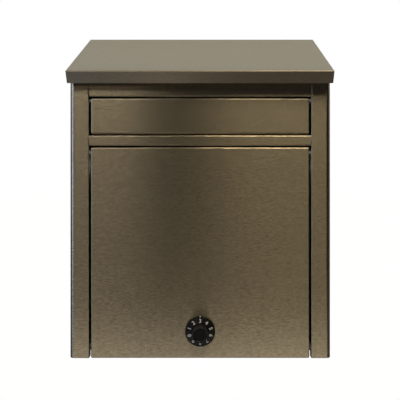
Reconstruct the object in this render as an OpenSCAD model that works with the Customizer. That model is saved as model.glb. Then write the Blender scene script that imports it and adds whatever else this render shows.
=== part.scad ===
// Wall-mounted parcel and letter drop box, folded from steel sheet.
// A sloping roof opens on a rear hinge and carries a hanging baffle, a mail flap swings inward,
// and the front door hangs from two pivots and is held by a combination dial lock.
//
// Millimetres. +X is right as seen from the front, the wall is the plane Y = 0, the front looks
// towards -Y, and +Z is up. The origin is the centre of the four wall-screw holes on the back face.
// Inside the modules every height is measured from the bottom edge of the box.

/* [Body] */
// Overall width of the body
body_w = 385; // [325:1:460]
// Depth from the wall to the front face
body_d = 200; // [170:1:240]
// Height of the front door, which starts level with the bottom edge
door_h = 312; // [265:1:372]
// Height of the rail between the door and the mail flap
rail_h = 15.2; // [13:0.1:18.2]
// Height of the mail flap
flap_h = 52.2; // [44:0.1:62]
// Rise from the bottom of the fascia to the front edge of the roof
eave_rise = 35.8; // [31:0.1:43]
// Width of the column face on each side of the opening
column_w = 28; // [24:0.5:33]
// Outer radius of the two upright front corners
corner_r = 10; // [8.5:0.5:12]
// Thickness of the steel sheet
sheet = 1.2; // [1:0.1:1.4]
// Gap above and below the flap and the door
panel_gap = 2.6; // [2.2:0.1:3.1]
// Gap between a column and the flap or the door
side_gap = 2.7; // [2.3:0.1:3.2]

/* [Roof lid] */
// Slope of the roof, in degrees
roof_slope = 20; // [17:1:24]
// How far the roof's front edge stands ahead of the front face
roof_overhang = 24; // [20:1:28]
// Length of the front lip, measured down its face
lip_length = 20.7; // [17.5:0.1:24.5]
// Angle by which the lip leans back from the vertical
lip_lean = 34; // [28:1:40]
// Depth of the lid's side skirts
skirt_depth = 18; // [15:0.5:21]
// Clearance between a skirt and the side of the body
skirt_gap = 1.5; // [1.3:0.1:1.8]
// Length of the piano hinge
hinge_w = 350; // [290:1:380]
// Distance from the wall to the hanging baffle
baffle_gap = 25; // [23:0.5:30]
// Height of the baffle's lower edge above the bottom of the box
baffle_foot = 313; // [305:1:340]

/* [Pivots] */
// Radius of the flap's and the door's pivot pins
pivot_r = 2; // [1.7:0.1:2.3]
// Radial clearance of every running fit
running_gap = 0.05; // [0.03:0.01:0.08]
// Depth of the flap's pivots behind the front face
flap_pivot_depth = 5; // [4.5:0.1:6]
// Depth of the door's pivots behind the front face
door_pivot_depth = 7; // [6:0.1:8]
// Depth of the door's pivots below its top edge
door_pivot_drop = 8; // [7:0.1:9.5]

/* [Dial lock] */
// Height of the dial's axis above the bottom edge
lock_height = 40; // [36:1:48]
// Radius of the dial
dial_r = 20.6; // [18:0.1:24]
// Radius of the knob at its foot
knob_r = 11.8; // [10:0.1:14]
// Length of the knob
knob_length = 21; // [18:0.5:25]
// Radius of the spindle
spindle_r = 3; // [2.6:0.1:3.4]
// Reach of the locking cam from the dial's axis
cam_reach = 28; // [26:0.5:33]

/* [Wall fixing] */
// Radius of a wall-screw hole
wall_hole_r = 4; // [3.5:0.1:4.5]
// Distance between the wall-screw holes, across
wall_spacing_x = 260; // [220:1:300]
// Distance between the wall-screw holes, up
wall_spacing_z = 200; // [170:1:220]
// Height of the lower pair of wall-screw holes
wall_hole_low = 85; // [72:1:90]

/* [Hidden] */

$fn = 48;
left = -1;
right = 1;
through = 1;                // how far a cutting shape runs past the face that it cuts
press_gap = 0.02;           // radial, where a pin or a screw is pressed or screwed home

// Sheet metal
bend_r = sheet;             // radius down the middle of the sheet
bend_steps = 5;
corner_steps = 16;
fold_depth = 12;            // inward folds along panel edges
rivet_flange = 15;          // flanges that carry rivets

// Body
opening_w = body_w - 2 * column_w;
panel_w = opening_w - 2 * side_gap;
fixed_gap = 0.2;            // between a fixed front panel and the column beside it
fixed_w = opening_w - 2 * fixed_gap;
column_return = 15.5;       // how deep a column's inner fold runs
rail_z = door_h + panel_gap;
flap_z = rail_z + rail_h + panel_gap;
fascia_z = flap_z + flap_h + panel_gap;
eave_z = fascia_z + eave_rise;
floor_z = 7;
floor_inset = 18;           // from the front face to the floor's front lip
floor_lip_top = 18;
floor_side_gap = 0.2;       // between the floor's side flanges and the side shells
shell_roof_gap = 2;         // between the shell's sloping top edge and the roof

// Roof, seen from the side; along the roof, distances run back and up from its front edge
roof_front = body_d + roof_overhang;
knuckle_r = 2.8;
leaf_t = 1;
leaf_reach = 3;             // from the pin's axis to a leaf's outer face
lid_pin_r = 1.5;
lid_axis_y = -(sheet + leaf_reach);
lid_axis_z = roof_under(lid_axis_y) - leaf_reach / cos(roof_slope);
lid_axis_run = (roof_front + lid_axis_y) * cos(roof_slope) + (lid_axis_z - eave_z) * sin(roof_slope);
rear_top = lid_axis_z - 0.3; // the body's top edge behind the hinge, low enough for the roof to swing
roof_tail = 1;              // how far the roof runs behind the hinge axis
roof_run = lid_axis_run + roof_tail;
lip_turn = 90 + lip_lean - roof_slope;
leaf_length = 18;
knuckles = 7;
knuckle_pitch = hinge_w / knuckles;
knuckle_play = 0.2;         // at each end of a knuckle
knuckle_clear = 3.4;        // from the axis to the leaf opposite another leaf's knuckle
stud_r = 2;
stud_play = 0.25;
stud_length = 4.6;
nut_r = 4;
nut_h = 2.2;
lid_stud_x = [-0.4, -0.14, 0.14, 0.4] * hinge_w;
leaf_stud_run = lid_axis_run - 12;
bumper_r = 5;
bumper_h = 2.2;
bumper_rest = 0.3;          // left between a rubber bumper and what closes on it
lid_bumper_x = 0.3 * body_w;
fascia_roof_gap = bumper_h + bumper_rest;
fascia_fold = 16;
baffle_w = body_w - 2 * sheet - 6;
baffle_y = -(baffle_gap + sheet / 2);
baffle_stud_run = (roof_front + baffle_y) / cos(roof_slope) - 8.5;

// Pivots
spigot_r = 0.75 * pivot_r;
pin_head_r = 1.1 * pivot_r;
pin_head_t = 0.8;
pin_head_gap = 0.2;         // between a pin's riveted head and the flap's top fold
flap_pivot_drop = sheet + pin_head_r + pin_head_gap;
flap_pivot = [-body_d + flap_pivot_depth, flap_z + flap_h - flap_pivot_drop];
door_pivot = [-body_d + door_pivot_depth, door_h - door_pivot_drop];
bushing_r = pivot_r + 0.9;
bushing_flange_r = pivot_r + 2.8;
bushing_flange_t = 1.2;
bushing_flat_depth = 1.65 * sheet; // from the front face to the flat
pin_end = 6;                // from the column's inner fold to the pin's end

// Flap and door
edge_r = 2;                 // outer radius of their folded front edges
flap_hem_y = -body_d + 13.6;
flap_hem_drop = 6.4;        // how far the stop hem hangs below the flap
flap_weight_w = panel_w - 24;
flap_weight_depth = 7.5;
flap_weight_h = 12;
door_depth = 13;
door_hem_top = 16;
door_bumper_x = 0.36 * panel_w;
door_bumper_r = 3.2;
stiffener_z = 0.51 * door_h;
stiffener_w = panel_w - 14;

// Fasteners
rivet_r = 1.6;
rivet_head_r = 3.1;
rivet_head_h = 1;
rivet_play = 0.05;
side_rivet_z = [for (share = [0.1, 0.3, 0.5, 0.7, 0.9]) share * eave_z];
side_rivet_x = body_w / 2 - 8.5;
floor_rivet_x = [-0.36, 0, 0.36] * body_w;
floor_rivet_y = [-0.25, -0.75] * body_d;
floor_rivet_z = floor_z + 9;
fascia_rivets = [[-body_d + 9, fascia_z + 10], [-body_d + 9, fascia_z + 30]];
rail_rivets = [[-body_d + 7, rail_z + rail_h / 2]];
hinge_rivet_x = [-0.42, -0.25, -0.08, 0.08, 0.25, 0.42] * hinge_w;
hinge_rivet_z = lid_axis_z - 14;

// Dial lock, by depth: positive is ahead of the door's front face, negative is behind it
ring_r = dial_r + 1.6;
ring_t = 3;
dial_t = 3.4;
dial_base = ring_t + 0.3;
knob_base = dial_base + dial_t;
spindle_front = knob_base + 3;
housing_r = 18;
housing_wall = 1.5;
housing_front = -sheet;
housing_rear = housing_front - 16.8;
post_r = spindle_r + 2;
post_gap = 0.3;             // between the housing's post and the spindle
wheel_r = 15;
wheel_t = 1.6;
wheel_pitch = 3.4;
wheel_first = housing_front - housing_wall - 0.5;
wheel_gap = 0.1;
spacer_t = wheel_pitch - wheel_t - 2 * wheel_gap;
post_rear = wheel_first - 3 * wheel_pitch + wheel_gap;
drive_front = post_rear - 1.2;
cover_t = 1.5;
cover_rear = housing_rear - cover_t;
boss_r = spindle_r + 1;
boss_rear = cover_rear - 1.9;
cam_t = 1.6;
cam_front = cover_rear - 0.2;
cam_hub_r = 8;
cam_w = 10;
washer_front = boss_rear - 0.2;
washer_t = 0.8;
spindle_rear = washer_front - washer_t - 0.2;
screw_r = 1.5;
cam_screw_length = 8;
lock_screw_x = 14;
recess_t = 1.4;             // depth of the screw heads' recesses in the base ring

// ---- Outlines ----

// Height of the roof's top and underside at a distance from the wall
function roof_top(y) = eave_z + (y + roof_front) * tan(roof_slope);
function roof_under(y) = roof_top(y) - sheet / cos(roof_slope);

function arc(centre, r, from, to, steps) =
    [for (k = [0 : steps]) centre + r * [cos(from + (to - from) * k / steps), sin(from + (to - from) * k / steps)]];

// A sheet's outline in section, from the path down its middle: every inner corner is a bend
function heading(path, i) = atan2(path[i + 1].y - path[i].y, path[i + 1].x - path[i].x);
function wrapped(angle) = angle > 180 ? angle - 360 : (angle < -180 ? angle + 360 : angle);
function leftward(angle) = [-sin(angle), cos(angle)];
function bend(corner, before, turn, r, half, steps) =
    let (
        side = sign(turn),
        setback = r * tan(abs(turn) / 2),
        centre = corner - setback * [cos(before), sin(before)] + side * r * leftward(before)
    )
    [for (k = [0 : steps]) centre - side * (r - side * half) * leftward(before + turn * k / steps)];
function sheet_face(path, half, radii, steps) =
    let (last = len(path) - 1)
    [
        path[0] + half * leftward(heading(path, 0)),
        for (i = [1 : last - 1])
            each bend(path[i], heading(path, i - 1), wrapped(heading(path, i) - heading(path, i - 1)),
                      radii[i - 1], half, steps),
        path[last] + half * leftward(heading(path, last - 1))
    ];
function reversed(points) = [for (i = [len(points) - 1 : -1 : 0]) points[i]];
function sheet_outline(path, radii, steps) =
    concat(sheet_face(path, sheet / 2, radii, steps), reversed(sheet_face(path, -sheet / 2, radii, steps)));
function same_bends(path) = [for (i = [2 : len(path) - 1]) bend_r];

// A panel's outline seen along one of its folded edges: the front is at y = 0 with rounded corners
function front_rounded(width, depth, r) =
    concat(
        [[width / 2, depth], [-width / 2, depth]],
        arc([-width / 2 + r, r], r, 180, 270, bend_steps),
        arc([width / 2 - r, r], r, 270, 360, bend_steps)
    );

// A hinge leaf and its curled knuckle, with the pin's axis at [0, 0] and the leaf running along +x
function knuckle_outline(length) =
    concat(
        [[length, leaf_reach], [0, leaf_reach]],
        arc([0, 0], knuckle_r, 90, 360 + asin((leaf_reach - leaf_t) / knuckle_r), 4 * corner_steps),
        [[length, leaf_reach - leaf_t]]
    );

// ---- Shared shapes ----

// From heights above the bottom edge to the part's own frame
module in_frame() {
    translate([0, 0, -wall_hole_low - wall_spacing_z / 2]) children();
}

// Along the roof: +Y runs back and up from the front edge, and the top face is z = 0
module on_roof() {
    in_frame() translate([0, -roof_front, eave_z]) rotate([roof_slope, 0, 0]) children();
}

// On the dial's axis: +Z runs out of the door's front face, and +Y is up
module on_lock() {
    in_frame() translate([0, -body_d, lock_height]) rotate([90, 0, 0]) children();
}

// Turns an outline of [Y, Z] points into a solid that runs across the box, centred on X = 0
module across(width) {
    rotate([90, 0, 90]) linear_extrude(width, center = true) children();
}

module folded_across(path, width) {
    across(width) polygon(sheet_outline(path, same_bends(path), bend_steps));
}

// A round bar or hole from one lock depth to another, further in
module between(front, rear, r) {
    translate([0, 0, rear]) cylinder(r = r, h = front - rear);
}

// A hole or bar along X, centred on the given [Y, Z]
module cross_bar(side, place, from, to, r) {
    translate([side * (from + to) / 2, place.x, place.y]) rotate([0, 90, 0]) cylinder(r = r, h = to - from, center = true);
}

module rounded_block(width, height, depth, r) {
    intersection() {
        linear_extrude(height, center = true) polygon(front_rounded(width, depth, r));
        rotate([0, 90, 0]) linear_extrude(width, center = true) polygon(front_rounded(height, depth, r));
    }
}

// A folded tray with its face forward at y = 0 and its four flanges running back
module tray(width, height, depth) {
    difference() {
        rounded_block(width, height, depth, edge_r);
        translate([0, sheet, 0]) rounded_block(width - 2 * sheet, height - 2 * sheet, depth + through, edge_r - sheet);
    }
}

// The tab at each end of a fixed front panel, which its rivets pass through
module end_tabs(low, high, depth, rivets) {
    for (side = [left, right])
        difference() {
            translate([side * (fixed_w - sheet) / 2, -body_d + sheet / 2 + depth / 2, (low + high) / 2])
                cube([sheet, depth, high - low], center = true);
            for (place = rivets)
                cross_bar(side, place, fixed_w / 2 - 2 * sheet, fixed_w / 2 + sheet, rivet_r + rivet_play);
        }
}

// A rivet set from z = 0 upwards: its head lies below, and its tail is dressed flush at the end of the grip
module rivet(grip) {
    translate([0, 0, -rivet_head_h]) cylinder(r = rivet_head_r, h = rivet_head_h);
    cylinder(r = rivet_r, h = grip);
}

// ---- Body ----

module side_shell(side) {
    wall_x = (body_w - sheet) / 2;
    fold_x = (opening_w + sheet) / 2;
    face_y = -body_d + sheet / 2;
    path = [
        [body_w / 2 - rivet_flange, -1.5 * sheet], [wall_x, -1.5 * sheet], [wall_x, face_y],
        [fold_x, face_y], [fold_x, -body_d + column_return]
    ];
    above = 2 * eave_z;
    level_y = (rear_top + shell_roof_gap - roof_under(0)) / tan(roof_slope);
    color([0.62, 0.58, 0.5]) in_frame() difference() {
        mirror([side == left ? 1 : 0, 0, 0])
            linear_extrude(above) polygon(sheet_outline(path, [bend_r, corner_r - sheet / 2, bend_r], corner_steps));
        across(body_w + 2 * through) polygon([
            [-body_d - through, roof_under(-body_d - through) - shell_roof_gap],
            [level_y, rear_top], [through, rear_top],
            [through, above + through], [-body_d - through, above + through]
        ]);
        for (place = [flap_pivot, door_pivot])
            cross_bar(side, place, opening_w / 2 - through, opening_w / 2 + 3 * sheet, bushing_r);
        for (place = concat(fascia_rivets, rail_rivets))
            cross_bar(side, place, opening_w / 2 - through, opening_w / 2 + 3 * sheet, rivet_r + rivet_play);
        for (y = floor_rivet_y)
            cross_bar(side, [y, floor_rivet_z], body_w / 2 - 2 * sheet, body_w / 2 + through, rivet_r + rivet_play);
        for (z = side_rivet_z)
            translate([side * side_rivet_x, 0, z]) rotate([90, 0, 0]) cylinder(r = rivet_r + rivet_play, h = 4 * sheet);
    }
}

module left_side_shell() {
    side_shell(left);
}

module right_side_shell() {
    side_shell(right);
}

module back_panel() {
    color([0.6, 0.57, 0.5]) in_frame() difference() {
        translate([-body_w / 2 + 1, -sheet, 0]) cube([body_w - 2, sheet, rear_top]);
        for (x = [-wall_spacing_x / 2, wall_spacing_x / 2])
            for (z = [wall_hole_low, wall_hole_low + wall_spacing_z])
                back_hole(x, z, wall_hole_r);
        for (side = [left, right])
            for (z = side_rivet_z)
                back_hole(side * side_rivet_x, z, rivet_r + rivet_play);
        for (x = floor_rivet_x)
            back_hole(x, floor_rivet_z, rivet_r + rivet_play);
        for (x = hinge_rivet_x)
            back_hole(x, hinge_rivet_z, rivet_r + rivet_play);
    }
}

module back_hole(x, z, r) {
    translate([x, through, z]) rotate([90, 0, 0]) cylinder(r = r, h = sheet + 2 * through);
}

module floor_panel() {
    middle = floor_z + sheet / 2;
    lip_y = -body_d + floor_inset - sheet / 2;
    flange_top = floor_z + fold_depth + sheet;
    flange_x = body_w / 2 - 1.5 * sheet - floor_side_gap;
    main_w = body_w - 2 * rivet_flange - 5;
    side_path = [[-flange_x, flange_top], [-flange_x, middle], [flange_x, middle], [flange_x, flange_top]];
    front_back_path = [[-1.5 * sheet, flange_top], [-1.5 * sheet, middle], [lip_y, middle], [lip_y, floor_lip_top]];
    drain_r = 3;
    color([0.6, 0.57, 0.5]) in_frame() difference() {
        union() {
            folded_across(front_back_path, main_w);
            translate([0, -3 * sheet, 0]) rotate([90, 0, 0])
                linear_extrude(-lip_y - 5 * sheet) polygon(sheet_outline(side_path, same_bends(side_path), bend_steps));
        }
        for (x = [-0.39, 0.39] * body_w)
            for (y = [-0.14, -0.78] * body_d)
                translate([x, y, floor_z - through]) cylinder(r = drain_r, h = sheet + 2 * through);
        for (x = floor_rivet_x)
            translate([x, through, floor_rivet_z]) rotate([90, 0, 0]) cylinder(r = rivet_r + rivet_play, h = 5 * sheet);
        for (side = [left, right])
            for (y = floor_rivet_y)
                cross_bar(side, [y, floor_rivet_z], body_w / 2 - 4 * sheet, body_w / 2, rivet_r + rivet_play);
    }
}

module top_fascia() {
    face_y = -body_d + sheet / 2;
    top = roof_under(face_y) - (fascia_roof_gap + sheet / 2) / cos(roof_slope);
    path = [
        [-body_d + 6, fascia_z + sheet / 2], [face_y, fascia_z + sheet / 2], [face_y, top],
        [face_y + fascia_fold * cos(roof_slope), top + fascia_fold * sin(roof_slope)]
    ];
    color([0.58, 0.52, 0.42]) in_frame() {
        folded_across(path, fixed_w);
        end_tabs(fascia_z + 4, fascia_z + 36, 14, fascia_rivets);
    }
}

module mid_rail() {
    face_y = -body_d + sheet / 2;
    inner_y = -body_d + fold_depth;
    low = rail_z + sheet / 2;
    high = rail_z + rail_h - sheet / 2;
    color([0.58, 0.52, 0.42]) in_frame() {
        folded_across([[inner_y, low], [face_y, low], [face_y, high], [inner_y, high]], fixed_w);
        end_tabs(rail_z + 2, rail_z + rail_h - 2, 11, rail_rivets);
    }
}

// ---- Roof lid ----

module lid_panel() {
    half = sheet / 2;
    skirt_x = body_w / 2 + skirt_gap + half;
    lip_corner = half * tan(lip_turn / 2);
    lip_angle = lip_turn - 180;
    lip_end = lip_length * [cos(lip_angle), sin(lip_angle)] + half * leftward(lip_angle);
    relief = 3 * half;
    skirt_front = relief - skirt_depth / tan(lip_turn);
    rear_slant = skirt_depth * tan(roof_slope);
    skirt_path = [[-skirt_x, -skirt_depth], [-skirt_x, -half], [skirt_x, -half], [skirt_x, -skirt_depth]];
    lip_path = [[30, -half], [lip_corner, -half], lip_end];
    color([0.66, 0.63, 0.56]) on_roof() {
        intersection() {
            rotate([-90, 0, 0]) mirror([0, 1, 0])
                linear_extrude(roof_run) polygon(sheet_outline(skirt_path, same_bends(skirt_path), bend_steps));
            across(body_w + 10 * skirt_gap) polygon([
                [relief, through], [relief, -sheet], [skirt_front, -skirt_depth - through],
                [roof_run - 2 - rear_slant, -skirt_depth - through], [roof_run - 2, -2 * sheet],
                [roof_run, -sheet - knuckle_play], [roof_run, through]
            ]);
        }
        folded_across(lip_path, 2 * skirt_x - 2 * sheet);
    }
}

module parcel_baffle() {
    half = sheet / 2;
    top = roof_under(baffle_y) - half / cos(roof_slope);
    flange = 15;
    path = [
        [baffle_y - flange * cos(roof_slope), top - flange * sin(roof_slope)], [baffle_y, top],
        [baffle_y, baffle_foot], [baffle_y - 8, baffle_foot]
    ];
    color([0.6, 0.57, 0.5]) difference() {
        in_frame() folded_across(path, baffle_w);
        lid_holes(baffle_stud_run);
    }
}

// Clearance holes for the lid's studs
module lid_holes(run) {
    for (x = lid_stud_x)
        on_roof() translate([x, run, -5 * sheet]) cylinder(r = stud_r + stud_play, h = 5 * sheet);
}

module lid_hinge_fixed_leaf() {
    depth = 22;
    color([0.7, 0.68, 0.62]) in_frame() difference() {
        union() {
            translate([0, lid_axis_y + leaf_reach - leaf_t / 2, lid_axis_z - (depth + knuckle_clear) / 2])
                cube([hinge_w, leaf_t, depth - knuckle_clear], center = true);
            for (i = [0 : 2 : knuckles - 1])
                translate([knuckle_x(i), 0, 0]) across(knuckle_pitch - 2 * knuckle_play)
                    polygon([for (p = knuckle_outline(2 * knuckle_clear)) [lid_axis_y + p.y, lid_axis_z - p.x]]);
        }
        translate([0, lid_axis_y, lid_axis_z]) rotate([0, 90, 0])
            cylinder(r = lid_pin_r + running_gap, h = hinge_w + 2 * through, center = true);
        for (x = hinge_rivet_x)
            leaf_hole(x);
    }
}

function knuckle_x(i) = (i - (knuckles - 1) / 2) * knuckle_pitch;

module leaf_hole(x) {
    translate([x, 0, hinge_rivet_z]) rotate([90, 0, 0]) cylinder(r = rivet_r + rivet_play, h = 6 * sheet);
}

module lid_hinge_moving_leaf() {
    axis_depth = -sheet - leaf_reach;
    color([0.7, 0.68, 0.62]) difference() {
        on_roof() difference() {
            union() {
                translate([0, lid_axis_run - (leaf_length + knuckle_clear) / 2, -sheet - leaf_t / 2])
                    cube([hinge_w, leaf_length - knuckle_clear, leaf_t], center = true);
                for (i = [1 : 2 : knuckles - 1])
                    translate([knuckle_x(i), 0, 0]) across(knuckle_pitch - 2 * knuckle_play)
                        polygon([for (p = knuckle_outline(2 * knuckle_clear)) [lid_axis_run - p.x, axis_depth + p.y]]);
            }
            translate([0, lid_axis_run, axis_depth]) rotate([0, 90, 0])
                cylinder(r = lid_pin_r + running_gap, h = hinge_w, center = true);
        }
        lid_holes(leaf_stud_run);
    }
}

module lid_hinge_pin() {
    color([0.8, 0.79, 0.75]) in_frame() translate([0, lid_axis_y, lid_axis_z]) rotate([0, 90, 0])
        cylinder(r = lid_pin_r, h = hinge_w - 1, center = true);
}

module lid_studs() {
    color([0.75, 0.74, 0.7]) on_roof()
        for (x = lid_stud_x)
            for (run = [leaf_stud_run, baffle_stud_run])
                translate([x, run, -sheet - stud_length]) cylinder(r = stud_r, h = stud_length);
}

module lid_nuts() {
    color([0.75, 0.74, 0.7]) on_roof()
        for (x = lid_stud_x)
            for (seat = [[leaf_stud_run, leaf_t], [baffle_stud_run, sheet]])
                translate([x, seat.x, -sheet - seat.y - nut_h]) difference() {
                    cylinder(r = nut_r, h = nut_h, $fn = 6);
                    translate([0, 0, -through]) cylinder(r = stud_r + running_gap, h = nut_h + 2 * through);
                }
}

module lid_bumper(side) {
    seat = (roof_front - body_d + 8) / cos(roof_slope);
    color([0.12, 0.12, 0.12]) on_roof()
        translate([side * lid_bumper_x, seat, -sheet - fascia_roof_gap]) cylinder(r = bumper_r, h = bumper_h);
}

module lid_bumper_left() {
    lid_bumper(left);
}

module lid_bumper_right() {
    lid_bumper(right);
}

// ---- Mail flap ----

module mail_flap() {
    bottom = flap_z + sheet / 2;
    hem_path = [[-body_d + 4, bottom], [flap_hem_y, bottom], [flap_hem_y, flap_z - flap_hem_drop]];
    side_depth = 12;
    top_depth = 6;
    top = flap_z + flap_h;
    color([0.55, 0.49, 0.4]) in_frame() difference() {
        union() {
            translate([0, -body_d, flap_z + flap_h / 2]) tray(panel_w, flap_h, side_depth);
            folded_across(hem_path, panel_w - 2 * edge_r);
        }
        across(panel_w + 2 * through) polygon([
            [-body_d + top_depth, top + through], [-body_d + top_depth, top - sheet - 0.2],
            [flap_pivot.x + pivot_r, flap_pivot.y], [-body_d + side_depth, flap_pivot.y - 5],
            [-body_d + side_depth + through, flap_pivot.y - 5], [-body_d + side_depth + through, top + through]
        ]);
        for (side = [left, right])
            cross_bar(side, flap_pivot, panel_w / 2 - 2 * sheet, panel_w / 2 + through, spigot_r + press_gap);
    }
}

// A shouldered pin: a spigot through the side flange, riveted over inside, and a shank that runs in the bushing
module pivot_pin(side, place) {
    face = panel_w / 2;
    color([0.78, 0.77, 0.74]) in_frame() {
        cross_bar(side, place, face, opening_w / 2 + pin_end, pivot_r);
        cross_bar(side, place, face - sheet - pin_head_t, face, spigot_r);
        cross_bar(side, place, face - sheet - pin_head_t, face - sheet, pin_head_r);
    }
}

// A flanged nylon bushing in the column's inner fold, cut flat where the column's face is near
module pivot_bushing(side, place) {
    fold = opening_w / 2;
    front_flat = place.x + body_d - bushing_flat_depth;
    color([0.88, 0.87, 0.82]) in_frame() difference() {
        union() {
            cross_bar(side, place, fold - 0.3, fold + sheet, bushing_r);
            intersection() {
                cross_bar(side, place, fold + sheet, fold + sheet + bushing_flange_t, bushing_flange_r);
                translate([side * (fold + 5), place.x - front_flat + 20, place.y]) cube([20, 40, 40], center = true);
            }
        }
        cross_bar(side, place, fold - through, fold + 4 * sheet, pivot_r + running_gap);
    }
}

// A steel strip in the flap's fold that carries its centre of mass behind the pivots, so that it hangs shut
module flap_weight() {
    rear_y = flap_hem_y - sheet / 2;
    color([0.5, 0.5, 0.48]) in_frame()
        translate([-flap_weight_w / 2, rear_y - flap_weight_depth, flap_z + sheet])
            cube([flap_weight_w, flap_weight_depth, flap_weight_h]);
}

module flap_pivot_pin_left() {
    pivot_pin(left, flap_pivot);
}

module flap_pivot_pin_right() {
    pivot_pin(right, flap_pivot);
}

module flap_bushing_left() {
    pivot_bushing(left, flap_pivot);
}

module flap_bushing_right() {
    pivot_bushing(right, flap_pivot);
}

// ---- Front door ----

module front_door() {
    hem_y = -body_d + door_depth - sheet / 2;
    hem_path = [[-body_d + 4, sheet / 2], [hem_y, sheet / 2], [hem_y, door_hem_top]];
    color([0.6, 0.55, 0.46]) in_frame() difference() {
        union() {
            translate([0, -body_d, door_h / 2]) tray(panel_w, door_h, door_depth);
            folded_across(hem_path, panel_w - 2 * sheet);
        }
        for (side = [left, right])
            cross_bar(side, door_pivot, panel_w / 2 - 2 * sheet, panel_w / 2 + through, spigot_r + press_gap);
        translate([0, -body_d, lock_height]) rotate([90, 0, 0])
            for (x = [-lock_screw_x, 0, lock_screw_x])
                translate([x, 0, 0]) cylinder(r = x == 0 ? post_r : screw_r + stud_play, h = 4 * sheet, center = true);
    }
}

module door_stiffener() {
    seat_y = -body_d + 1.5 * sheet;
    crown_y = seat_y + 8;
    crown_half = 10;
    brim = 8;
    path = [
        [seat_y, stiffener_z - crown_half - brim], [seat_y, stiffener_z - crown_half],
        [crown_y, stiffener_z - crown_half], [crown_y, stiffener_z + crown_half],
        [seat_y, stiffener_z + crown_half], [seat_y, stiffener_z + crown_half + brim]
    ];
    color([0.6, 0.57, 0.5]) in_frame() folded_across(path, stiffener_w);
}

module door_pivot_pin_left() {
    pivot_pin(left, door_pivot);
}

module door_pivot_pin_right() {
    pivot_pin(right, door_pivot);
}

module door_bushing_left() {
    pivot_bushing(left, door_pivot);
}

module door_bushing_right() {
    pivot_bushing(right, door_pivot);
}

// A rubber stop on the floor's front lip, which the door's hem closes on
module door_bumper(side) {
    lip_front = -body_d + floor_inset - sheet;
    reach = floor_inset - sheet - door_depth - bumper_rest;
    middle = (floor_z + 1.5 * sheet + door_hem_top) / 2;
    color([0.12, 0.12, 0.12]) in_frame()
        translate([side * door_bumper_x, lip_front, middle]) rotate([90, 0, 0]) cylinder(r = door_bumper_r, h = reach);
}

module door_bumper_left() {
    door_bumper(left);
}

module door_bumper_right() {
    door_bumper(right);
}

// ---- Dial lock ----

module lock_base_ring() {
    tab_w = 5;
    color([0.1, 0.09, 0.08]) on_lock() difference() {
        union() {
            between(ring_t, 0, ring_r);
            translate([-tab_w / 2, dial_r, 0]) cube([tab_w, 3, ring_t]);
        }
        between(ring_t + through, -through, spindle_r + running_gap);
        for (x = [-lock_screw_x, lock_screw_x])
            translate([x, 0, 0]) {
                between(ring_t + through, -through, screw_r + stud_play);
                between(ring_t + through, ring_t - recess_t, 3);
            }
    }
}

module lock_dial() {
    chamfer = 0.6;
    color([0.1, 0.09, 0.08]) on_lock() difference() {
        union() {
            between(knob_base - chamfer, dial_base, dial_r);
            translate([0, 0, knob_base - chamfer]) cylinder(r1 = dial_r, r2 = dial_r - chamfer, h = chamfer);
        }
        between(knob_base + through, dial_base - through, spindle_r + press_gap);
    }
}

module dial_knob() {
    flutes = 24;
    flute_r = 0.9;
    crown_r = knob_r - 0.4;
    color([0.12, 0.11, 0.1]) on_lock() translate([0, 0, knob_base]) difference() {
        cylinder(r1 = knob_r, r2 = crown_r, h = knob_length);
        for (i = [0 : flutes - 1])
            rotate([0, 0, 360 * i / flutes]) translate([knob_r, 0, 3]) cylinder(r = flute_r, h = knob_length);
        translate([0, 0, knob_length - 1]) cylinder(r = crown_r - 2.5, h = 1 + through);
        translate([0, 0, -through]) cylinder(r = spindle_r + press_gap, h = spindle_front - knob_base + through);
    }
}

module dial_spindle() {
    color([0.72, 0.62, 0.35]) on_lock() difference() {
        between(spindle_front, spindle_rear, spindle_r);
        between(spindle_rear + cam_screw_length + 0.5, spindle_rear - through, screw_r + press_gap);
    }
}

module lock_housing() {
    cavity_front = housing_front - housing_wall;
    color([0.66, 0.66, 0.64]) on_lock() difference() {
        union() {
            difference() {
                between(housing_front, housing_rear, housing_r);
                between(cavity_front, housing_rear - through, housing_r - housing_wall);
            }
            between(cavity_front, post_rear, post_r);
        }
        between(housing_front + through, post_rear - through, spindle_r + post_gap);
        for (x = [-lock_screw_x, lock_screw_x])
            translate([x, 0, 0]) between(housing_front + through, cavity_front - through, screw_r + press_gap);
    }
}

module lock_cover() {
    spigot_t = 1.4;
    color([0.66, 0.66, 0.64]) on_lock() difference() {
        union() {
            between(housing_rear, cover_rear, housing_r);
            between(housing_rear + spigot_t, housing_rear, housing_r - housing_wall - running_gap);
            between(cover_rear, boss_rear, boss_r);
        }
        between(housing_rear + spigot_t + through, boss_rear - through, spindle_r + running_gap);
        between(housing_rear + spigot_t + through, housing_rear, wheel_r - 2);
    }
}

module lock_screws() {
    head_t = 1.2;
    color([0.75, 0.74, 0.7]) on_lock()
        for (x = [-lock_screw_x, lock_screw_x])
            translate([x, 0, 0]) {
                between(ring_t - recess_t + head_t, ring_t - recess_t, 2.7);
                between(ring_t - recess_t, housing_front - housing_wall, screw_r);
            }
}

// A ring with a gate cut into its rim; the three gates stand at different angles
module tumbler_wheel(number) {
    front = wheel_first - (number - 1) * wheel_pitch;
    gate_w = 4;
    gate_depth = 4;
    gate_angle = 40 + 95 * number;
    color([0.74, 0.63, 0.35]) on_lock() difference() {
        between(front, front - wheel_t, wheel_r);
        between(front + through, front - wheel_t - through, post_r + running_gap);
        rotate([0, 0, gate_angle]) translate([wheel_r - gate_depth, -gate_w / 2, front - wheel_t - through])
            cube([2 * gate_depth, gate_w, wheel_t + 2 * through]);
    }
}

module tumbler_wheel_1() {
    tumbler_wheel(1);
}

module tumbler_wheel_2() {
    tumbler_wheel(2);
}

module tumbler_wheel_3() {
    tumbler_wheel(3);
}

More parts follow.
